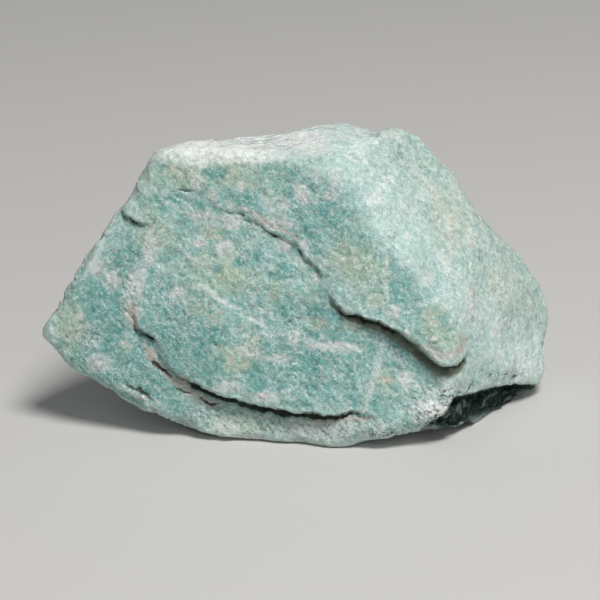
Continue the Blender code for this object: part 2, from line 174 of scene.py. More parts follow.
PALES = [
    (-18.5, 21.5, 1.2, 1.4), (-10.7, 20.6, 1.0, 1.0), (-15.8, 19.0, 1.0, 1.2),
    (-17.4, 15.3, 2.3, 1.1), (-12.8, 14.2, 2.5, 1.4), (-4.2, 13.8, 3.4, 1.1),
    (0.3, 19.3, 1.4, 2.2), (6.4, 21.7, 1.3, 1.8), (5.8, 19.0, 1.4, 1.0),
    (-3.0, 17.3, 1.2, 1.0), (2.8, 22.4, 1.1, 1.0), (13.4, 18.2, 1.5, 1.8),
    (17.0, 17.2, 1.6, 1.4), (21.0, 16.0, 0.7, 1.5), (-18.2, 10.5, 1.3, 1.0),
    (-13.8, 9.6, 1.5, 1.6), (-22.3, 1.2, 1.6, 1.1), (-3.0, 10.0, 1.5, 1.1),
    (0.9, 10.0, 1.2, 1.0), (2.8, 4.0, 1.1, 0.8), (-9.4, -9.2, 2.3, 1.0),
    (6.0, -8.4, 4.4, 0.9), (-1.4, -7.0, 1.4, 1.4), (-3.8, -10.6, 2.2, 0.8),
    (17.0, -2.3, 1.5, 1.1), (19.8, 7.0, 1.5, 1.3), (23.3, 4.0, 1.0, 1.2),
    (26.4, 1.8, 0.8, 1.6), (-12.8, -15.8, 2.4, 0.9), (-27.0, -9.9, 1.3, 1.1),
    (-6.4, -17.7, 2.7, 0.9), (19.2, -14.4, 1.6, 1.4), (22.6, -20.4, 2.6, 2.2),
    (3.0, -23.4, 6.5, 1.6), (-13.0, -23.0, 2.0, 1.6), (-36.6, -11.4, 2.3, 1.6),
    (-37.0, 6.0, 1.4, 2.0), (-34.0, 3.6, 1.4, 1.8), (-40.0, -3.0, 1.0, 0.8),
    (-27.2, 9.6, 1.2, 3.6), (-30.0, 3.0, 1.6, 2.4), (-30.4, -2.4, 1.4, 2.2),
]
TANS = [
    (-20.5, 23.6, 3.2, 2.6), (-12.8, 23.6, 1.5, 2.2), (-15.8, 12.2, 2.6, 1.2),
    (-13.2, 5.2, 2.4, 1.7), (8.6, 7.8, 2.2, 2.4), (-18.6, -1.8, 1.9, 1.2),
    (-15.0, -3.6, 1.3, 1.9), (-12.0, -11.5, 2.8, 1.5), (-8.6, -7.6, 1.4, 1.1),
    (8.8, -4.4, 1.6, 1.3), (24.4, -3.2, 2.0, 2.0), (14.0, 0.5, 1.1, 1.5),
    (15.5, -14.6, 1.9, 2.3), (3.2, -4.0, 1.4, 1.6), (29.4, -8.0, 1.3, 2.2),
    (-42.0, -5.5, 1.9, 1.5), (-31.7, -8.3, 1.1, 1.0), (-28.0, 10.6, 1.2, 1.4),
    (-4.7, 1.4, 1.2, 1.7), (37.0, 2.0, 2.4, 2.4), (26.5, 15.0, 2.4, 5.0),
]

# Broad zones: where the green runs deep, and where frosted white lies on it
DEEPS = [
    (2.0, -12.0, 13.0, 8.0), (-34.0, -4.0, 9.0, 11.0), (-26.0, -13.0, 12.0, 8.0), (8.0, 15.0, 8.0, 6.0),
    (-22.0, -6.0, 8.0, 5.0), (21.0, 3.5, 5.0, 5.0), (25.0, -4.5, 5.0, 5.0), (17.0, -11.0, 6.0, 6.0),
]
WHITES = [
    (-14.0, 28.6, 13.0, 3.4), (0.0, 29.8, 12.0, 2.6), (41.0, -10.5, 3.5, 3.0), (24.6, -19.6, 2.6, 1.2),
]
ICE = [
    [(8.0, 28.0, 4.0), (13.5, 20.5, 4.5), (19.5, 12.0, 4.0), (26.0, 2.5, 3.0), (30.6, -5.0, 1.8)],
    [(33.0, -4.0, 3.5), (37.0, -8.6, 5.0), (43.0, -9.6, 4.0)],
]

# White veins of the front face: points along each (across, up, half width) in mm
VEINS = [
    [(-28.4, 0.0, 0.1), (-24.0, -0.6, 0.2), (-19.0, 0.0, 0.2)],
    [(-19.6, 2.4, 0.2), (-17.2, 2.4, 0.6), (-15.4, 0.9, 0.5), (-13.4, -0.6, 0.5),
     (-10.2, -2.9, 0.4), (-7.3, -3.9, 0.6), (-6.3, -5.4, 0.4), (-5.7, -7.4, 0.2)],
    [(-4.8, -6.3, 0.1), (-2.2, -6.3, 0.2), (-1.3, -5.6, 0.2), (0.1, -6.4, 0.2),
     (1.6, -7.6, 0.4), (3.6, -8.5, 0.7), (7.4, -8.7, 0.9), (9.6, -8.8, 0.7), (11.6, -9.0, 0.2)],
    [(16.6, -4.6, 0.3), (15.2, -7.6, 0.6), (14.4, -10.6, 0.7), (13.2, -14.6, 0.6),
     (12.4, -18.2, 0.6), (11.4, -20.6, 0.3)],
    [(-26.8, 9.2, 0.6), (-28.4, 5.6, 0.9), (-30.0, 2.8, 1.1), (-31.2, 0.4, 1.1), (-31.0, -2.4, 0.6)],
    [(-33.4, 15.6, 0.2), (-36.4, 9.6, 0.7), (-39.6, 3.8, 0.4)],
    [(-33.6, -15.4, 0.2), (-30.4, -17.0, 0.5), (-26.4, -19.6, 0.3)],
    [(30.4, 7.6, 0.1), (31.4, 3.0, 0.4), (31.6, -1.0, 0.5), (31.0, -6.0, 0.3)],
    [(20.0, -15.0, 0.2), (24.0, -17.0, 0.5), (27.0, -15.0, 0.6), (29.4, -16.4, 0.3)],
    [(36.0, 6.0, 0.1), (37.4, 0.0, 0.5), (37.0, -6.0, 0.5), (36.0, -10.0, 0.2)],
    [(41.6, 0.0, 0.1), (42.4, -5.0, 0.5), (42.0, -9.0, 0.3)],
    [(19.6, 27.0, 0.1), (21.4, 23.4, 0.3), (22.0, 20.0, 0.3), (20.6, 16.0, 0.2)],
    [(-40.6, -5.4, 0.1), (-39.0, -4.6, 0.4), (-37.4, -5.4, 0.2)],
    [(-38.6, -6.8, 0.1), (-37.4, -7.8, 0.4), (-36.6, -9.6, 0.2)],
    [(9.6, -11.0, 0.1), (10.6, -14.0, 0.2), (11.0, -17.0, 0.1)],
    [(-10.6, -9.6, 0.1), (-6.0, -10.4, 0.2), (-2.0, -12.0, 0.2), (0.6, -11.0, 0.1)],
    [(-22.4, 10.6, 0.1), (-20.4, 8.0, 0.2), (-17.4, 6.4, 0.2), (-14.6, 6.6, 0.1)],
    [(15.8, 8.0, 0.3), (15.4, 4.4, 0.6), (15.6, 0.4, 0.6), (16.2, -1.6, 0.3)],
    [(17.8, -9.8, 0.1), (19.2, -13.4, 0.4), (20.6, -15.4, 0.3)],
    [(-5.2, -11.0, 0.1), (-2.4, -9.6, 0.3), (-0.8, -8.6, 0.2)],
    [(7.2, 13.4, 0.1), (8.8, 14.6, 0.2), (10.8, 14.9, 0.3), (13.0, 14.0, 0.2), (14.2, 12.8, 0.1)],
    [(24.0, 23.0, 0.2), (22.6, 19.4, 0.4), (21.0, 15.4, 0.4)],
    [(-22.2, 16.4, 0.1), (-18.4, 15.2, 0.2), (-15.4, 15.0, 0.2), (-11.4, 13.6, 0.1)],
    [(5.0, -23.0, 0.1), (6.6, -25.2, 0.2)],
    [(3.4, -9.6, 0.1), (5.8, -11.6, 0.15), (6.8, -14.8, 0.1)],
]

# Dents: (across, up, half width, half height, depth) in mm
DENTS = [(13.6, 30.8, 0.9, 1.6, 0.6), (-43.4, 0.6, 0.7, 0.9, 0.4), (-36.0, 11.4, 0.8, 0.8, 0.35)]

# Lines of other stuff: an olive-brown stain with painted shade under a lip, and crumbled pinkish rims beside
# cracks
LIP_STAIN_AND_SHADE = [
    [(5.4, -0.4, 0.2), (7.3, -2.2, 0.5), (9.5, -3.4, 0.6), (12.0, -4.3, 0.7),
     (14.5, -5.2, 0.8), (17.5, -6.7, 1.0), (20.3, -8.7, 1.1), (22.5, -10.8, 1.1),
     (24.9, -12.8, 0.9), (26.9, -13.5, 0.8), (28.5, -12.9, 0.7), (30.0, -11.2, 0.4)],
]
RIMS = [
    [(-11.0, 17.0, 0.3), (-8.0, 15.6, 0.5), (-5.6, 13.8, 0.5), (-2.6, 12.3, 0.4), (0.0, 10.8, 0.3)],
    [(22.6, -8.2, 0.5), (25.6, -10.2, 0.9), (28.4, -9.8, 0.9), (30.2, -7.4, 0.5)],
    [(-28.2, -8.2, 0.6), (-27.0, -10.4, 0.8), (-25.0, -12.6, 0.8), (-22.8, -14.8, 0.9),
     (-21.4, -15.0, 1.4), (-19.0, -17.4, 1.2), (-17.0, -18.4, 1.0), (-15.0, -19.2, 0.6)],
    [(31.6, 2.6, 0.2), (31.8, -1.0, 0.3), (31.2, -4.0, 0.2)],
    [(1.0, -21.6, 0.3), (5.0, -22.0, 0.5), (9.0, -21.6, 0.7), (12.6, -21.8, 0.5)],
    [(-30.6, -1.0, 0.9), (-30.6, -3.4, 0.9), (-29.8, -5.0, 0.5)],
]

# Shallow steps of the front face: (across, up, drop) in mm, dropping to the right as followed
STEPS = [
    [(-5.7, -7.4, 0.0), (-7.3, -3.9, 0.3), (-10.2, -2.9, 0.35), (-13.4, -0.6, 0.35),
     (-15.4, 0.9, 0.3), (-17.2, 2.4, 0.3), (-19.6, 2.4, 0.0)],
    [(11.6, -8.6, 0.0), (7.4, -8.1, 0.3), (3.6, -7.8, 0.35), (1.6, -7.0, 0.3), (-1.3, -5.6, 0.25),
     (-4.8, -6.3, 0.0)],
    [(7.2, 13.4, 0.0), (8.8, 14.6, 0.3), (10.8, 14.9, 0.35), (13.0, 14.0, 0.3), (14.2, 12.8, 0.0)],
    [(-22.2, 16.4, 0.0), (-18.4, 15.4, 0.25), (-14.0, 14.6, 0.25), (-10.6, 12.6, 0.0)],
    [(-34.5, 10.5, 0.0), (-35.6, 6.0, 0.3), (-37.0, 2.0, 0.3), (-38.6, -1.0, 0.0)],
    [(-39.4, -9.0, 0.0), (-34.0, -9.6, 0.3), (-30.0, -11.6, 0.35), (-26.0, -15.4, 0.3), (-23.0, -17.4, 0.0)],
]

# Litter of white crystal crumbs under the middle plate and left of the hollow
LITTER = [
    (-8.0, -22.6, 9.0, 2.0), (3.0, -23.8, 9.0, 2.0), (12.0, -22.6, 5.0, 2.0), (-17.0, -20.8, 4.0, 1.6),
    (24.0, -18.0, 5.0, 3.5), (-31.0, 0.5, 1.6, 6.0), (-37.8, -6.6, 2.0, 2.4),
]

# Crumbled edges, where the stone has broken small: points along each (across, up, half width) in mm
CRUMBLED = [
    [(-43.0, -8.0, 0.8), (-38.0, -13.0, 1.6), (-32.0, -17.6, 2.0), (-26.0, -21.4, 2.0), (-18.0, -24.4, 1.4)],
    [(-38.0, 9.0, 0.8), (-42.0, 2.0, 1.2), (-44.0, -2.0, 1.0)],
    [(12.0, -24.6, 1.0), (20.0, -23.0, 1.8), (24.0, -20.0, 1.6)],
]

# Dark specks around the mouth of the hollow
SOOT = [(27.5, -17.6, 3.4, 2.6), (23.5, -21.4, 4.0, 2.2), (17.0, -24.6, 5.0, 1.2), (37.0, -13.6, 5.0, 1.0)]

# Broad brownish green zones
OLIVES = [
    (-17.0, 24.0, 9.0, 3.4), (-13.0, 4.5, 5.5, 3.5), (11.0, 7.5, 4.5, 5.5), (25.5, -5.5, 4.0, 4.0),
    (-41.5, -4.5, 3.0, 4.0), (-11.0, -23.0, 5.0, 2.0), (-12.0, -10.0, 4.0, 3.0), (37.0, 3.0, 3.0, 4.0),
    (26.0, 15.0, 3.0, 6.0), (-26.0, 12.0, 3.0, 3.0),
]

# Small white flakes: (across, up, half width, half height, stand) in mm
FLAKES = [
    (16.5, 11.9, 1.1, 0.7, 0.25), (24.4, -7.0, 0.9, 0.7, 0.4), (31.0, 6.6, 0.3, 0.5, 0.1),
    (-6.6, -17.4, 1.0, 0.5, 0.1), (-28.4, -17.6, 0.9, 0.6, 0.2), (19.4, -5.9, 0.6, 0.5, 0.3),
]


def settled(thing):
    """The object's mesh with its modifiers worked in."""
    bpy.context.view_layer.update()
    graph = bpy.context.evaluated_depsgraph_get()
    mesh = bpy.data.meshes.new_from_object(thing.evaluated_get(graph))
    thing.modifiers.clear()
    old = thing.data
    thing.data = mesh
    bpy.data.meshes.remove(old)


def remesh(thing, size_mm, rounds):
    """Gives the object a new even skin, smoothed for some rounds."""
    skin = thing.modifiers.new("skin", "REMESH")
    skin.mode = "VOXEL"
    skin.voxel_size = size_mm * MM
    soften = thing.modifiers.new("soften", "SMOOTH")
    soften.iterations = rounds
    settled(thing)


def in_the_box(points):
    """The points, none of them outside the solid's own box."""
    return np.clip(points, np.array(cad_low) / MM, np.array(cad_high) / MM)


def drop_crumbs(thing):
    """Leaves only the stone's own skin, without crumbs beside it or bubbles inside it."""
    mesh = thing.data
    edges = np.empty(len(mesh.edges) * 2, np.int32)
    mesh.edges.foreach_get("vertices", edges)
    first, second = edges.reshape(-1, 2).T
    piece = np.arange(len(mesh.vertices))
    while True:
        joined = piece.copy()
        np.minimum.at(joined, first, piece[second])
        np.minimum.at(joined, second, piece[first])
        joined = joined[joined]
        if (joined == piece).all():
            break
        piece = joined
    crumbs = np.flatnonzero(piece != np.bincount(piece).argmax())
    if len(crumbs):
        skin = bmesh.new()
        skin.from_mesh(mesh)
        skin.verts.ensure_lookup_table()
        bmesh.ops.delete(skin, geom=[skin.verts[index] for index in crumbs], context="VERTS")
        skin.to_mesh(mesh)
        skin.free()
        mesh.update()


def thin_out(thing):
    """Fewer triangles where the skin is plain, as many as before where it is broken."""
    mesh = thing.data
    mesh.calc_loop_triangles()
    fewer = thing.modifiers.new("fewer", "DECIMATE")
    fewer.ratio = min(1.0, MOST_TRIANGLES / len(mesh.loop_triangles))
    settled(thing)
    move_to(thing.data, in_the_box(column(thing.data, "co", 3) / MM))


def column(mesh, field, width):
    """One field of every point of the mesh, a row for each."""
    values = np.empty(len(mesh.vertices) * width, np.float32)
    mesh.vertices.foreach_get(field, values)
    return values.reshape(-1, width).astype(float)


def move_to(mesh, points):
    mesh.vertices.foreach_set("co", (points * MM).astype(np.float32).ravel())
    mesh.update()


def note(mesh, name, values):
    """Keeps one number a point with the mesh, for the material to read."""
    layer = mesh.attributes.new(name, "FLOAT", "POINT")
    layer.data.foreach_set("value", values.astype(np.float32))


def turned(directions):
    """From the row frame to the front face: across, up, deep."""
    x, y, z = directions.T
    up = y * math.sin(LEAN) + z * math.cos(LEAN)
    deep = y * math.cos(LEAN) - z * math.sin(LEAN)
    return np.stack([x, up, deep], 1)


def to_face(points):
    return turned(points - FACE_MIDDLE)


def as_seen(face):
    """Where the eye sees points of the face: across, up."""
    return face[:, :2] / (1 + face[:, 2:] / EYE_MM)


def smooth_step(value):
    value = np.clip(value, 0.0, 1.0)
    return value * value * (3.0 - 2.0 * value)


def lattice(points, size, seed):
    """Gradient noise, about -0.7 to 0.7."""
    dice = np.random.default_rng(seed)
    order = dice.permutation(256)
    slopes = dice.normal(size=(256, 3))
    slopes /= np.linalg.norm(slopes, axis=1)[:, None]
    scaled = points / size + dice.uniform(0, 64, 3)
    corner = np.floor(scaled).astype(int)
    inside = scaled - corner
    blend = inside**3 * (inside * (inside * 6 - 15) + 10)
    total = np.zeros(len(points))
    for offset in np.ndindex(2, 2, 2):
        x, y, z = (corner + offset).T & 255
        slope = slopes[order[(order[(order[x] + y) & 255] + z) & 255]]
        weight = np.prod(np.where(offset, blend, 1 - blend), axis=1)
        total += weight * (slope * (inside - offset)).sum(1)
    return total


def fractal(points, size, seed, octaves):
    """Gradient noise with finer and fainter noise added, each half the size of the last."""
    total = np.zeros(len(points))
    for octave in range(octaves):
        total += lattice(points, size / 2**octave, seed + octave) / 2**octave
    return total


def chips(points, size, seed, lean, lift):
    """Flat broken facets: each stands at its own height and leans its own way."""
    dice = np.random.default_rng(seed)
    order = dice.permutation(256)
    scatter = dice.uniform(0, 1, (256, 3))
    leans = dice.normal(size=(256, 3)) * lean
    lifts = dice.uniform(-lift, lift, 256)
    bent = points + size * 0.35 * np.stack(
        [lattice(points, size * 0.8, seed + axis) for axis in (1, 2, 3)], 1)
    along_layers = (bent @ LAYERS)[:, None] * LAYERS
    scaled = (bent + along_layers * 0.7) / size
    corner = np.floor(scaled).astype(int)
    nearest = np.full(len(points), 9.0)
    rise = np.zeros(len(points))
    for offset in np.ndindex(3, 3, 3):
        cell = corner + np.array(offset) - 1
        x, y, z = cell.T & 255
        pick = order[(order[(order[x] + y) & 255] + z) & 255]
        away = scaled - cell - scatter[pick]
        distance = np.linalg.norm(away, axis=1)
        nearer = distance < nearest
        nearest = np.where(nearer, distance, nearest)
        rise = np.where(nearer, (away * leans[pick]).sum(1) + lifts[pick], rise)
    return rise


def terraces(points, thickness, seed):
    """Steps where the layers break off one after another: 0 to 0.85 of a step."""
    phase = (points @ LAYERS + fractal(points, size=12.0, seed=seed, octaves=3) * 3.2) / thickness
    part = phase - np.floor(phase)
    return part - smooth_step((part - 0.85) / 0.15)


def beside(flat, line):
    """Signed distance to the right of a line as its points are followed, and its own values there."""
    line = np.array(line, float)
    best = np.full(len(flat), 1e9)
    signed = np.zeros(len(flat))
    values = np.zeros((len(flat), line.shape[1] - 2))
    for a, b in zip(line[:-1], line[1:]):
        run = b[:2] - a[:2]
        share = np.clip(((flat - a[:2]) @ run) / (run @ run), 0, 1)
        away = flat - (a[:2] + share[:, None] * run)
        distance = np.hypot(away[:, 0], away[:, 1])
        side = run[1] * away[:, 0] - run[0] * away[:, 1]
        nearer = distance < best - 1e-9
        best = np.where(nearer, distance, best)
        signed = np.where(nearer, np.sign(side) * distance, signed)
        values[nearer] = (a[2:] + share[:, None] * (b[2:] - a[2:]))[nearer]
    return signed, values


def within(flat, patches):
    """How far inside the nearest patch: 1 at its middle, 0 at its border, down to -1 beyond."""
    best = np.full(len(flat), -1.0)
    for across, up, half_wide, half_high in patches:
        away = np.hypot((flat[:, 0] - across) / half_wide, (flat[:, 1] - up) / half_high)
        best = np.maximum(best, 1.0 - away)
    return best


def along(flat, lines):
    """How far inside the nearest line's own half width: 1 at its middle, 0 at its border, -1 at most."""
    best = np.full(len(flat), -1.0)
    for line in lines:
        away, half = beside(flat, line)
        best = np.maximum(best, 1.0 - np.abs(away) / (half[:, 0] + 0.12))
    return best


def neighbour_smoother(mesh):
    """A function that moves each point to the middle of its neighbours."""
    edges = np.empty(len(mesh.edges) * 2, np.int32)
    mesh.edges.foreach_get("vertices", edges)
    first, second = edges.reshape(-1, 2).T
    count = np.bincount(edges, minlength=len(mesh.vertices)).astype(float)

    def smoothed(places):
        around = np.empty_like(places)
        for axis in range(3):
            from_second = np.bincount(first, places[second, axis], len(places))
            from_first = np.bincount(second, places[first, axis], len(places))
            around[:, axis] = (from_second + from_first) / count
        return around

    return smoothed


def facing_front(normals):
    """1 where the skin faces the eye, falling to 0 where it turns a little away from it."""
    return smooth_step((0.25 - turned(normals)[:, 2]) / 0.35)


def cleavage_face(flat, toward_eye):
    """Where the broad cleavage face is: 1 on it, as far as the ridge, and 0 on the broken faces."""
    before_ridge, _ = beside(flat, RIDGE)
    level = smooth_step((toward_eye - 0.8) / 0.14) * (flat[:, 0] < 34)
    worn = smooth_step((before_ridge + 0.6) / 1.4) * smooth_step((toward_eye - 0.5) / 0.25)
    return np.maximum(level, worn)


def wandering(face, size, seed, reach):
    """The face's plan with its lines made unsteady, so that they run like broken stone."""
    plan = np.column_stack([face[:, :2], np.zeros(len(face))])
    shift = np.stack([fractal(plan, size, seed, 3), fractal(plan, size, seed + 7, 3)], 1)
    jag = np.stack([chips(plan, JAG_MM, seed + turn, 0.0, JAG_REACH) for turn in (14, 15)], 1)
    return as_seen(face) + shift * reach + jag


def wear_ridge(thing):
    """Rounds the ridge between the front and the right flank."""
    mesh = thing.data
    points = column(mesh, "co", 3) / MM
    front = facing_front(column(mesh, "normal", 3))
    away, half = beside(as_seen(to_face(points)), RIDGE)
    share = smooth_step(1.5 - np.abs(away) / half[:, 0]) * front
    smoothed = neighbour_smoother(mesh)
    for _ in range(RIDGE_ROUNDS):
        points += (smoothed(points) - points) * share[:, None]
    move_to(mesh, points)


def crack_opening(face, drop):
    """Where a crack gapes and where it nearly closes: 0.3 to 1, nearer 1 the higher the lip."""
    plan = np.column_stack([face[:, :2], np.zeros(len(face))])
    open_share = smooth_step(fractal(plan, size=2.4, seed=61, octaves=2) / 0.5 + 0.7)
    least = 0.3 + 0.7 * smooth_step((drop - 1.2) / 1.2)
    return least + (1 - least) * open_share


def far_wall(beyond, width):
    """1 inside a crack under a lip, falling to 0 past the crack's far wall."""
    return 1 - smooth_step((beyond - 0.4 * width) / (0.4 * width + 0.15))


def sharpen_ledges(thing):
    """Steepens each riser, and undercuts the crack at its foot."""
    mesh = thing.data
    points = column(mesh, "co", 3) / MM
    front = facing_front(column(mesh, "normal", 3))
    face = to_face(points)
    plan = wandering(face, **LIP_BENDS)
    inward = np.zeros(len(points))
    upward = np.zeros(len(points))
    for lip in LIPS:
        beyond, values = beside(plan, lip)
        drop, crack = values.T
        riser = GENTLE_MM + (CRISP_MM - GENTLE_MM) * np.clip(crack / 0.35, 0, 1)
        steep = smooth_step(beyond / riser + 0.5) - smooth_step(beyond / SOLID_MM + 0.5)
        near_wall = smooth_step(beyond / 0.3 + 0.5)
        groove = crack * 0.6 * drop * near_wall * far_wall(beyond, 0.02 + 0.42 * drop)
        groove *= crack_opening(face, drop)
        inward += drop * steep * 0.85 + groove
        upward += groove * 0.45
    points += INWARD * (inward * front)[:, None] + UPWARD * (upward * front)[:, None]
    move_to(mesh, points)


def open_cracks(thing):
    """Cuts the hairlines, deepens the ledges' cracks, and keeps how far inside a crack each point is, as the
    mask of the cracks' dirt and painted shade.
    """
    mesh = thing.data
    points = column(mesh, "co", 3) / MM
    front = facing_front(column(mesh, "normal", 3))
    face = to_face(points)
    plan = wandering(face, **LIP_BENDS)
    dark = np.zeros(len(points))
    cut = np.zeros(len(points))
    for lip in LIPS:
        beyond, values = beside(plan, lip)
        drop, crack = values.T
        near_wall = smooth_step((beyond + 0.14) / 0.24)
        gape = near_wall * far_wall(beyond, 0.06 + 0.36 * drop) * crack_opening(face, drop)
        dark = np.maximum(dark, gape * np.clip(crack * (0.6 + 0.2 * drop), 0, 1))
        cut = np.maximum(cut, gape * crack * 0.3)
    plan = wandering(face, **HAIRLINE_BENDS)
    for line in HAIRLINES:
        away, depth = beside(plan, line)
        groove = np.exp(-((away / HAIRLINE_MM) ** 2)) * depth[:, 0]
        cut = np.maximum(cut, groove)
        dirty_and_shaded = np.exp(-((away / HAIRLINE_DIRT_AND_SHADE_MM) ** 2)) * np.clip(depth[:, 0] * 2, 0, 1)
        dark = np.maximum(dark, dirty_and_shaded)
    points += INWARD * (cut * front)[:, None]
    move_to(mesh, points)
    # The crack mask: where dirt and painted shade darken the colour
    note(mesh, "crack", dark * front)


def roughen(thing):
    """Chips, small steps, crumbled places, pits and crystals, within the solid's own box."""
    mesh = thing.data
    points = column(mesh, "co", 3) / MM
    normals = column(mesh, "normal", 3)
    flat = as_seen(to_face(points))
    front = facing_front(normals)

    beyond, values = beside(flat, HOLLOW_LIP)
    hollow = smooth_step((beyond + 0.2) / 0.6) * smooth_step((HOLLOW_REACH_MM - beyond) / 3.0)
    hollow *= smooth_step(values[:, 1] * 2) * front
    cleavage = cleavage_face(flat, -turned(normals)[:, 2])
    broken = 1 - 0.5 * cleavage
    crisp = 0.5 + 0.5 * cleavage
    rise = fractal(points, size=5.0, seed=91, octaves=3) * 0.22 * broken
    rise += chips(points, size=6.0, seed=101, lean=0.1, lift=0.01) * broken
    rise += chips(points, size=2.6, seed=111, lean=0.075, lift=0.016) * crisp
    rise += chips(points, size=1.2, seed=121, lean=0.075, lift=0.026) * crisp
    drawn = points + (points @ LAYERS)[:, None] * LAYERS * 5.0
    rise += fractal(drawn, size=5.0, seed=161, octaves=3) * 0.1 * (1 - cleavage)
    plan = wandering(to_face(points), **STEP_BENDS)
    for line in STEPS:
        beyond, values = beside(plan, line)
        rise -= values[:, 0] * 0.7 * smooth_step(beyond / 0.8 + 0.5) * smooth_step(1.3 - beyond / 5.0) * front
    crumbled = np.maximum(smooth_step(within(flat, LITTER) * 3), smooth_step(along(flat, RIMS) * 2))
    crumbled = np.maximum(crumbled, smooth_step(along(flat, CRUMBLED) + 0.2) * 1.3)
    rise += crumbled * front * (chips(drawn, size=1.6, seed=171, lean=0.12, lift=0.07) - 0.03)
    hidden = 1 - smooth_step((-turned(normals)[:, 2] - 0.1) / 0.25)
    uneven = 0.4 + smooth_step(fractal(points, size=8.0, seed=191, octaves=2) + 0.5)
    layered = terraces(points, thickness=6.0, seed=181) * 0.42
    rise += hidden * uneven * (layered + chips(points, size=3.6, seed=201, lean=0.2, lift=0.06) - 0.2)
    rise += fractal(points, size=0.9, seed=131, octaves=2) * 0.04
    pits = smooth_step((fractal(points, size=3.2, seed=141, octaves=3) - 0.7) / 0.12)
    rise -= pits * 0.18
    crystals = chips(points, size=3.0, seed=151, lean=0.32, lift=0.4)
    rise += hollow * (crystals - 0.5)
    plan = wandering(to_face(points), **FLAKE_BENDS)
    sunk = [(across, up, wide, high, -depth) for across, up, wide, high, depth in DENTS]
    for across, up, half_wide, half_high, stand in FLAKES + sunk:
        away = np.hypot((plan[:, 0] - across) / half_wide, (plan[:, 1] - up) / half_high)
        rise += smooth_step((1.1 - away) / 0.35) * stand * front

    # The flat foot stays as it is
    resting = smooth_step((points[:, 2] - 0.05) / 0.6)
    points += normals * (rise * resting)[:, None]
    move_to(mesh, in_the_box(points))
    note(mesh, "hollow", hollow)
    note(mesh, "crystal", smooth_step(crystals / 0.8 + 0.5))


def standing_proud(smoothed, points, normals, rounds):
    """How far each point stands out of its surroundings, in mm; hollows are below zero."""
    soft = points
    for _ in range(rounds):
        soft = smoothed(soft)
    return ((points - soft) * normals).sum(1)


def mark(thing):
    """Keeps the places of the markings, the worn edges and the sheltered places with the mesh."""
    mesh = thing.data
    points = column(mesh, "co", 3) / MM
    normals = column(mesh, "normal", 3)
    face = to_face(points)
    flat = as_seen(face)
    toward_eye = -turned(normals)[:, 2]
    front = facing_front(normals)
    note(mesh, "seen", smooth_step((toward_eye - 0.1) / 0.25))
    placed = {"pool": POOLS, "pale": PALES, "tan": TANS, "deep": DEEPS, "white": WHITES,
              "litter": LITTER, "olive": OLIVES}
    for name, patches in placed.items():
        note(mesh, name, within(flat, patches))
    for name, lines in {"ice": ICE, "vein": VEINS, "lip_stain_and_shade": LIP_STAIN_AND_SHADE, "rim": RIMS}.items():
        note(mesh, name, along(flat, lines))
    note(mesh, "soot", within(flat, SOOT) * front)
    flakes = [flake[:4] for flake in FLAKES]
    note(mesh, "flake", within(wandering(face, **FLAKE_BENDS), flakes))
    smoothed = neighbour_smoother(mesh)
    note(mesh, "edge", standing_proud(smoothed, points, normals, EDGE_ROUNDS))
    note(mesh, "nick", standing_proud(smoothed, points, normals, NICK_ROUNDS))
    note(mesh, "cleavage", cleavage_face(flat, toward_eye))


def make_stone():
    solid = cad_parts["amazonite"]
    stone = bpy.data.objects.new("rough_stone", solid.data.copy())
    stone.data.materials.clear()
    bpy.context.scene.collection.objects.link(stone)
    remesh(stone, COARSE_MM, COARSE_ROUNDS)
    wear_ridge(stone)
    sharpen_ledges(stone)
    remesh(stone, FINE_MM, FINE_ROUNDS)
    drop_crumbs(stone)
    open_cracks(stone)
    roughen(stone)
    thin_out(stone)
    mark(stone)
    stone.data.shade_smooth()
    return stone


class Wiring:
    """Adds and joins the nodes of one material or group."""

    def __init__(self, tree):
        self.tree = tree

    def feed(self, socket, value):
        if isinstance(value, bpy.types.NodeSocket):
            self.tree.links.new(value, socket)
        elif value is not None:
            socket.default_value = value

    def add(self, kind, inputs, **settings):
        node = self.tree.nodes.new(kind)
        for name, value in settings.items():
            setattr(node, name, value)
        for socket, value in inputs.items():
            self.feed(node.inputs[socket], value)
        return node

    def math(self, operation, first, second=None):
        return self.add("ShaderNodeMath", {0: first, 1: second}, operation=operation).outputs[0]

    def vector(self, operation, first, second):
        node = self.add("ShaderNodeVectorMath", {0: first, 1: second}, operation=operation)
        return node.outputs["Value" if operation == "DOT_PRODUCT" else "Vector"]

    def scaled(self, vector, factor):
        node = self.add("ShaderNodeVectorMath", {0: vector, "Scale": factor}, operation="SCALE")
        return node.outputs[0]

    def noise(self, points, scale, detail=3.0, roughness=0.55):
        inputs = {"Vector": points, "Scale": scale, "Detail": detail, "Roughness": roughness}
        return self.add("ShaderNodeTexNoise", inputs).outputs["Fac"]

    def step(self, value, low, high, least=0.0, most=1.0):
        inputs = {"Value": value, "From Min": low, "From Max": high, "To Min": least, "To Max": most}
        node = self.add("ShaderNodeMapRange", inputs, interpolation_type="SMOOTHSTEP")
        return node.outputs["Result"]

    def blend(self, amount, first, second):
        inputs = {0: amount, 6: opaque(first), 7: opaque(second)}
        return self.add("ShaderNodeMix", inputs, data_type="RGBA").outputs[2]

    def between(self, amount, first, second):
        return self.add("ShaderNodeMix", {0: amount, 2: first, 3: second}).outputs[0]

    def kept(self, name):
        """A number that was noted with the mesh."""
        return self.add("ShaderNodeAttribute", {}, attribute_name=name).outputs["Fac"]

    def group(self, tree, inputs):
        node = self.add("ShaderNodeGroup", {}, node_tree=tree)
        for socket, value in inputs.items():
            self.feed(node.inputs[socket], value)
        return node.outputs


def opaque(colour):
    return (*colour, 1.0) if isinstance(colour, tuple) else colour


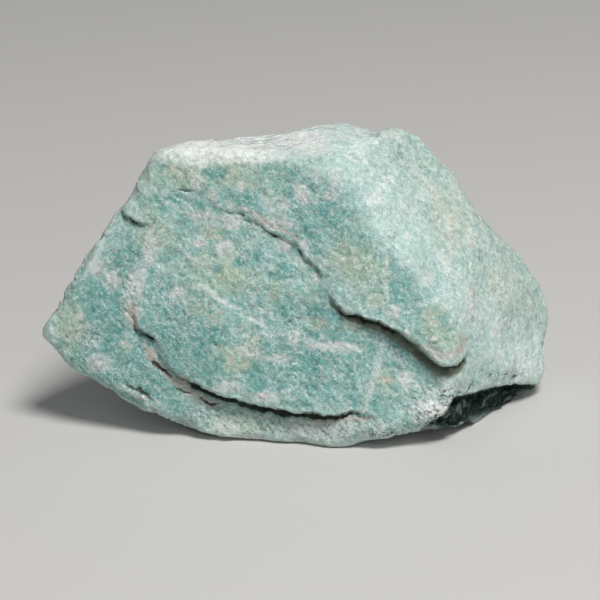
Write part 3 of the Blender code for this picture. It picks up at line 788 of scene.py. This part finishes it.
def start_group(name, inputs, outputs):
    """A new node group with named number and vector inputs and named number outputs."""
    tree = bpy.data.node_groups.new(name, "ShaderNodeTree")
    for socket, kind in inputs:
        tree.interface.new_socket(socket, in_out="INPUT", socket_type=f"NodeSocket{kind}")
    for socket in outputs:
        tree.interface.new_socket(socket, in_out="OUTPUT", socket_type="NodeSocketFloat")
    given = tree.nodes.new("NodeGroupInput").outputs
    result = tree.nodes.new("NodeGroupOutput").inputs
    return tree, Wiring(tree), given, result


def make_ragged_patches():
    """Where a marking shows: round the places noted on the front, and freely elsewhere."""
    inputs = [("Points", "Vector"), ("Placed", "Float"), ("Seen", "Float"), ("Size", "Float"),
              ("Cover", "Float"), ("Raggedness", "Float"), ("Border", "Float")]
    tree, wire, given, result = start_group("ragged patches", inputs, ["Mask"])
    wide = wire.noise(given["Points"], wire.math("DIVIDE", 0.45, given["Size"]), 2.0)
    free = wire.math("MULTIPLY", wire.math("SUBTRACT", wide, wire.math("SUBTRACT", 1.0, given["Cover"])), 5.0)
    nearness = wire.between(given["Seen"], free, given["Placed"])
    fine = wire.noise(given["Points"], wire.math("DIVIDE", 1.6, given["Size"]), 4.0, 0.65)
    tear = wire.math("MULTIPLY", wire.math("SUBTRACT", fine, 0.5), given["Raggedness"])
    torn = wire.math("ADD", nearness, tear)
    below = wire.math("MULTIPLY", given["Border"], -1.0)
    wire.feed(result["Mask"], wire.step(torn, below, given["Border"]))
    return tree


def make_layer_streaks():
    """Noise drawn out along the feldspar's layers, 0 to 1."""
    inputs = [("Points", "Vector"), ("Thickness", "Float"), ("Length", "Float")]
    tree, wire, given, result = start_group("layer streaks", inputs, ["Streak"])
    height = wire.vector("DOT_PRODUCT", given["Points"], tuple(LAYERS))
    ratio = wire.math("SUBTRACT", wire.math("DIVIDE", given["Length"], given["Thickness"]), 1.0)
    spread = wire.scaled(tuple(LAYERS), wire.math("MULTIPLY", height, ratio))
    drawn = wire.vector("ADD", given["Points"], spread)
    scale = wire.math("DIVIDE", 1.0, given["Length"])
    wire.feed(result["Streak"], wire.noise(drawn, scale, 3.0, 0.6))
    return tree


def make_crystal_grains():
    """Small crystals pressed flat between the layers: two random numbers for each, and its lean."""
    inputs = [("Points", "Vector"), ("Size", "Float")]
    tree, wire, given, result = start_group("crystal grains", inputs, ["Tint", "Pick", "Height"])
    height = wire.vector("DOT_PRODUCT", given["Points"], tuple(LAYERS))
    drawn = wire.vector("ADD", given["Points"], wire.scaled(tuple(LAYERS), height))
    bend = wire.add("ShaderNodeTexNoise", {"Vector": given["Points"], "Scale": 1.1, "Detail": 2.0})
    shift = wire.vector("SUBTRACT", bend.outputs["Color"], (0.5, 0.5, 0.5))
    bent = wire.vector("ADD", drawn, wire.scaled(shift, wire.math("MULTIPLY", given["Size"], 1.6)))
    scale = wire.math("DIVIDE", 1.0, given["Size"])
    cell = wire.add("ShaderNodeTexVoronoi", {"Vector": bent, "Scale": scale})
    tint = wire.add("ShaderNodeSeparateColor", {0: cell.outputs["Color"]})
    wire.feed(result["Tint"], tint.outputs[0])
    wire.feed(result["Pick"], tint.outputs[1])
    inside = wire.vector("SUBTRACT", bent, cell.outputs["Position"])
    lean = wire.vector("SUBTRACT", cell.outputs["Color"], (0.5, 0.5, 0.5))
    wire.feed(result["Height"], wire.vector("DOT_PRODUCT", inside, lean))
    return tree


# Colours of the stone and of the floor, as the share of light given back
SEA_GREEN = (0.20, 0.43, 0.38)
MINT = (0.295, 0.49, 0.445)
BLUISH = (0.25, 0.49, 0.50)
GRASSY = (0.30, 0.475, 0.355)
DEEP_SEA = (0.135, 0.385, 0.355)
TEAL = (0.095, 0.33, 0.295)
OLIVE = (0.365, 0.50, 0.36)
BUFF = (0.56, 0.52, 0.41)
MILK = (0.62, 0.63, 0.62)
JADE = (0.30, 0.54, 0.45)
SAND = (0.65, 0.63, 0.52)
RIND = (0.60, 0.72, 0.665)
FROST = (0.64, 0.71, 0.685)
FLAKE_WHITE = (0.76, 0.74, 0.70)
SNOW = (0.88, 0.90, 0.88)
ICY = (0.56, 0.74, 0.71)
RIME = (0.72, 0.765, 0.74)
GAP = (0.10, 0.16, 0.14)
PINKISH = (0.58, 0.525, 0.475)
OLIVE_STAIN_AND_SHADE = (0.12, 0.125, 0.075)
# Near black of the cracks: dirt with painted shade
CRACK_DIRT_AND_SHADE = (0.035, 0.04, 0.033)
RUST = (0.16, 0.085, 0.06)
# Painted shade inside the hollow, dark green and near black; the near black also colours the dark specks by
# the hollow
HOLLOW_SHADE_GREEN = (0.05, 0.09, 0.07)
DARK_SPECKS_AND_HOLLOW_SHADE = (0.01, 0.02, 0.016)
NICK_SHADE = (0.10, 0.17, 0.14)
PALE_FLOOR = (0.66, 0.65, 0.635)


def make_amazonite():
    made = bpy.data.materials.new("amazonite")
    made.use_nodes = True
    wire = Wiring(made.node_tree)
    patches = make_ragged_patches()
    streaks = make_layer_streaks()
    crystals = make_crystal_grains()

    points = wire.scaled(wire.add("ShaderNodeTexCoord", {}).outputs["Object"], 1 / MM)
    seen = wire.kept("seen")
    fracture = wire.math("SUBTRACT", 1.0, wire.kept("cleavage"))

    def elsewhere(*shift):
        """The points moved, so that a noise over them runs its own way."""
        return wire.vector("ADD", points, shift)

    def patch(placed, offset, size, cover, raggedness, border):
        inputs = {"Points": elsewhere(offset, offset, offset), "Placed": wire.kept(placed), "Seen": seen,
                  "Size": size, "Cover": cover, "Raggedness": raggedness, "Border": border}
        return wire.group(patches, inputs)[0]

    def streak(thickness, length, offset, place=points):
        shifted = wire.vector("ADD", place, (offset, offset, offset))
        return wire.group(streaks, {"Points": shifted, "Thickness": thickness, "Length": length})[0]

    def lay(under, over, *shares):
        """One colour over another, as thick as all the shares multiplied."""
        amount = shares[0]
        for share in shares[1:]:
            amount = wire.math("MULTIPLY", amount, share)
        return wire.blend(amount, under, over)

    # The greens of the whole stone
    clouds = wire.step(wire.noise(points, 0.28, 4.0, 0.6), 0.36, 0.64)
    colour = wire.blend(clouds, SEA_GREEN, MINT)
    drift = wire.noise(elsewhere(2.0, 6.0, 4.0), 0.26, 5.0, 0.62)
    colour = lay(colour, BLUISH, wire.step(drift, 0.52, 0.6, 0.0, 0.6))
    colour = lay(colour, GRASSY, wire.step(drift, 0.48, 0.4, 0.0, 0.7))
    mottle = wire.noise(elsewhere(3.0, 3.0, 8.0), 0.42, 4.0, 0.55)
    colour = lay(colour, DEEP_SEA, wire.step(mottle, 0.5, 0.38, 0.0, 0.5))
    colour = lay(colour, MILK, wire.step(mottle, 0.52, 0.66, 0.0, 0.35))

    # Broad zones and smaller patches
    deep = patch("deep", offset=25.0, size=9.0, cover=0.45, raggedness=0.9, border=0.6)
    colour = lay(colour, DEEP_SEA, deep, 0.85)
    olive = patch("olive", offset=31.0, size=7.0, cover=0.45, raggedness=1.4, border=0.7)
    colour = lay(colour, OLIVE, olive, 0.85)
    tan = patch("tan", offset=40.0, size=3.0, cover=0.44, raggedness=1.6, border=0.55)
    colour = lay(colour, OLIVE, tan, 0.6)
    buff = wire.step(wire.noise(elsewhere(9.0, 3.0, 5.0), 0.9, 3.0), 0.46, 0.66)
    colour = lay(colour, BUFF, tan, buff, 0.85)
    pool = patch("pool", offset=10.0, size=2.4, cover=0.46, raggedness=1.5, border=0.5)
    colour = lay(colour, TEAL, pool, 0.95)
    pale = patch("pale", offset=70.0, size=2.2, cover=0.46, raggedness=1.7, border=0.45)
    colour = lay(colour, MILK, pale, 0.8)

    # Crystals, and streaks that follow the layers
    grains = wire.group(crystals, {"Points": points, "Size": 0.75})
    colour = lay(colour, FROST, wire.step(grains["Pick"], 0.62, 1.0, 0.0, 0.35))
    colour = lay(colour, TEAL, wire.step(grains["Pick"], 0.3, 0.0, 0.0, 0.35))
    strings = wire.step(streak(thickness=0.4, length=3.6, offset=3.0), 0.5, 0.68)
    colour = lay(colour, FROST, strings, wire.between(fracture, 0.3, 0.6))
    jade = wire.step(streak(thickness=1.0, length=8.0, offset=17.0), 0.5, 0.64)
    colour = lay(colour, JADE, jade, fracture, 0.6)
    sand = wire.step(streak(thickness=0.8, length=7.0, offset=91.0), 0.5, 0.64)
    colour = lay(colour, SAND, sand, fracture, 0.8)

    # Fine strokes that run one way here and another way there, where the stone is busy
    turn = {"Vector": points, "Axis": tuple(INWARD), "Angle": 1.2}
    across = wire.add("ShaderNodeVectorRotate", turn).outputs[0]
    one_way = streak(thickness=0.2, length=2.2, offset=33.0)
    other_way = streak(thickness=0.2, length=1.8, offset=71.0, place=across)
    turns = wire.noise(elsewhere(7.0, 7.0, 1.0), 0.4, 3.0, 0.6)
    strokes = wire.between(wire.step(turns, 0.46, 0.54), one_way, other_way)
    restless = wire.noise(elsewhere(1.0, 4.0, 9.0), 0.5, 3.0, 0.6)
    busy = wire.step(restless, 0.4, 0.58, 0.2, 1.1)
    light = wire.math("MULTIPLY", wire.step(strokes, 0.55, 0.61), busy)
    colour = lay(colour, FROST, light, 0.45)
    colour = lay(colour, TEAL, wire.step(strokes, 0.45, 0.36), busy, 0.65)

    # Thin pale crazing where a noise crosses its middle
    for scale, offset in ((0.5, 21.0), (0.8, 43.0)):
        shifted = elsewhere(offset, 8.0, 2.0)
        crazing = wire.noise(shifted, scale, 5.0, 0.62)
        line = wire.math("ABSOLUTE", wire.math("SUBTRACT", crazing, 0.5))
        present = wire.step(wire.noise(shifted, 0.16, 1.0), 0.44, 0.56, 0.0, 0.95)
        colour = lay(colour, RIME, wire.step(line, 0.012, 0.003), present)

    # Veins and flakes
    tear = wire.math("SUBTRACT", wire.noise(points, 1.7, 3.0, 0.65), 0.5)

    def torn(placed, raggedness):
        return wire.math("ADD", wire.kept(placed), wire.math("MULTIPLY", tear, raggedness))

    colour = lay(colour, FROST, wire.step(torn("vein", 4.6), -0.2, 0.8, 0.0, 0.62))
    colour = lay(colour, FLAKE_WHITE, wire.step(torn("flake", 1.6), -0.05, 0.45, 0.0, 0.85))

    # Frost on worn edges and broken faces, thinner where the green runs deep; white and icy zones
    bruise = wire.noise(points, 1.3, 3.0, 0.6)
    bruised = wire.math("MULTIPLY", wire.math("SUBTRACT", bruise, 0.5), 0.5)
    worn = wire.math("ADD", wire.kept("edge"), bruised)
    shallow = wire.step(deep, 0.0, 1.0, 1.0, 0.25)
    colour = lay(colour, RIND, wire.step(worn, 0.1, 0.45, 0.0, 0.5), shallow)
    frost = wire.step(wire.noise(points, 0.7, 4.0, 0.65), 0.35, 0.7, 0.25, 0.75)
    colour = lay(colour, RIND, fracture, frost, shallow)
    white = patch("white", offset=52.0, size=6.0, cover=0.42, raggedness=1.3, border=0.7)
    colour = lay(colour, SNOW, white, 0.95)
    ice = patch("ice", offset=12.0, size=6.0, cover=0.42, raggedness=2.0, border=0.9)
    colour = lay(colour, ICY, ice, 0.75)
    colour = lay(colour, SNOW, ice, fracture, wire.step(drift, 0.48, 0.6), 0.5)

    # Painted glints as sparse white flecks, smudges, and the sugary look of small crystals
    glint_flecks = wire.group(crystals, {"Points": points, "Size": 0.34})
    # Painted glints: the rarest small crystals are painted near white
    colour = lay(colour, RIME, wire.step(glint_flecks["Pick"], 0.96, 0.99, 0.0, 0.5))
    smudge = wire.step(wire.noise(points, 1.15, 4.0, 0.7), 0.36, 0.6)
    colour = wire.scaled(colour, wire.between(smudge, 0.86, 1.08))
    colour = wire.scaled(colour, wire.between(deep, 1.03, 0.95))
    sugar = wire.noise(points, 3.8, 3.0, 0.7)
    tint = wire.step(grains["Tint"], 0.0, 1.0, 0.93, 1.07)
    sparkle = wire.math("MULTIPLY", wire.step(sugar, 0.32, 0.68, -0.24, 0.24), busy)
    colour = wire.scaled(colour, wire.math("ADD", sparkle, tint))

    # Crumbs with dark gaps, specks, pinkish rims, and an olive-brown stain with painted shade under a lip
    thin_streaks = streak(thickness=0.3, length=1.4, offset=5.0)
    crumbs = wire.between(0.5, wire.noise(points, 1.4, 4.0, 0.75), thin_streaks)
    litter = patch("litter", offset=64.0, size=3.0, cover=0.3, raggedness=1.6, border=0.5)
    colour = lay(colour, RIME, litter, wire.step(crumbs, 0.47, 0.6, 0.0, 0.7))
    colour = lay(colour, GAP, litter, wire.step(crumbs, 0.47, 0.38, 0.0, 0.8))
    sooty = wire.step(wire.kept("soot"), 0.0, 0.5)
    colour = lay(colour, DARK_SPECKS_AND_HOLLOW_SHADE, sooty, wire.step(crumbs, 0.5, 0.43), 0.9)
    colour = lay(colour, PINKISH, wire.step(torn("rim", 2.0), 0.0, 0.6, 0.0, 0.65))
    # Painted shade with an olive-brown stain: dark, under the upper lip's lower right part
    colour = lay(colour, OLIVE_STAIN_AND_SHADE, wire.step(torn("lip_stain_and_shade", 1.2), -0.1, 0.6, 0.0, 0.85))

    # Painted shade in nicks, dirt with painted shade in cracks, and painted shade inside the hollow
    colour = lay(colour, NICK_SHADE, wire.step(wire.kept("nick"), -0.03, -0.18, 0.0, 0.4))
    crack = wire.kept("crack")
    # Dirt with painted shade: the cracks are painted near black, with rust in places
    soiled_and_shaded = wire.step(wire.math("ADD", crack, wire.math("MULTIPLY", sugar, 0.3)), 0.4, 0.85)
    crack_dirt_and_shade = wire.blend(wire.step(bruise, 0.5, 0.75), CRACK_DIRT_AND_SHADE, RUST)
    colour = lay(colour, crack_dirt_and_shade, soiled_and_shaded, 0.9)
    # Painted shade: the inside of the hollow is painted near black and dark green, a little less where its
    # crystals stand out
    dimmed = wire.step(wire.kept("crystal"), 1.0, 0.9, 0.86, 0.99)
    hollow = wire.math("MULTIPLY", wire.kept("hollow"), dimmed)
    inside = wire.blend(wire.step(bruise, 0.5, 0.68), DARK_SPECKS_AND_HOLLOW_SHADE, HOLLOW_SHADE_GREEN)
    colour = lay(colour, inside, hollow)

    # Relief finer than the mesh, and a gloss that dulls in the cracks and the hollow
    relief = wire.math("ADD", wire.math("MULTIPLY", sugar, 0.05), wire.math("MULTIPLY", light, 0.025))
    relief = wire.math("ADD", relief, wire.math("MULTIPLY", grains["Height"], 0.22))
    bump = wire.add("ShaderNodeBump", {"Height": relief, "Distance": MM, "Strength": 1.0})
    gloss = wire.step(wire.noise(points, 0.95, 2.0, 0.5), 0.35, 0.65, 0.38, 0.58)
    sheltered = wire.math("MAXIMUM", crack, hollow)

    shader = made.node_tree.nodes["Principled BSDF"]
    wire.feed(shader.inputs["Base Color"], colour)
    wire.feed(shader.inputs["Roughness"], wire.between(sheltered, gloss, 0.95))
    wire.feed(shader.inputs["Specular IOR Level"], wire.between(sheltered, 0.5, 0.1))
    wire.feed(shader.inputs["Normal"], bump.outputs["Normal"])
    shader.inputs["IOR"].default_value = 1.53
    shader.inputs["Subsurface Weight"].default_value = 0.12
    shader.inputs["Subsurface Radius"].default_value = (0.7, 1.0, 0.9)
    shader.inputs["Subsurface Scale"].default_value = 0.0012
    return made


def plain_material(name, colour, roughness):
    made = bpy.data.materials.new(name)
    made.use_nodes = True
    shader = made.node_tree.nodes["Principled BSDF"]
    shader.inputs["Base Color"].default_value = opaque(colour)
    shader.inputs["Roughness"].default_value = roughness
    return made


def make_floor():
    mesh = bpy.data.meshes.new("floor")
    half = 3.0
    corners = [(-half, -half, 0), (half, -half, 0), (half, half, 0), (-half, half, 0)]
    mesh.from_pydata(corners, [], [(0, 1, 2, 3)])
    mesh.materials.append(plain_material("pale_floor", PALE_FLOOR, 0.7))
    floor = bpy.data.objects.new("floor", mesh)
    bpy.context.scene.collection.objects.link(floor)


def make_light(name, place, size, power, colour):
    lamp = bpy.data.lights.new(name, "AREA")
    lamp.shape = "DISK"
    lamp.size = size
    lamp.energy = power
    lamp.color = colour
    light = bpy.data.objects.new(name, lamp)
    light.location = place
    light.rotation_mode = "QUATERNION"
    light.rotation_quaternion = (Vector((0, 0, 0.02)) - Vector(place)).to_track_quat("-Z", "Y")
    bpy.context.scene.collection.objects.link(light)


def make_lights():
    make_light("key", place=(0.22, -0.36, 0.9), size=0.4, power=8.0, colour=(1.0, 0.985, 0.965))
    make_light("fill", place=(0.3, -0.95, 0.35), size=0.9, power=0.9, colour=(0.95, 0.97, 1.0))
    world = bpy.data.worlds.new("studio")
    world.use_nodes = True
    back = world.node_tree.nodes["Background"]
    back.inputs["Color"].default_value = (0.92, 0.96, 1.0, 1.0)
    back.inputs["Strength"].default_value = 0.16
    bpy.context.scene.world = world


def make_camera():
    lens = bpy.data.cameras.new("camera")
    lens.sensor_width = 36.0
    lens.lens = 36.0 * EYE_MM / PICTURE_MM
    lens.clip_start = 0.01
    camera = bpy.data.objects.new("camera", lens)
    camera.location = (Vector(FACE_MIDDLE) - Vector(INWARD) * EYE_MM) * MM
    camera.rotation_mode = "QUATERNION"
    camera.rotation_quaternion = Vector(INWARD).to_track_quat("-Z", "Y")
    bpy.context.scene.collection.objects.link(camera)
    bpy.context.scene.camera = camera


stone = make_stone()
stone.data.materials.append(make_amazonite())
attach(stone, "root")
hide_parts("amazonite")
make_floor()
make_lights()
make_camera()
bpy.context.scene.view_settings.view_transform = "Standard"
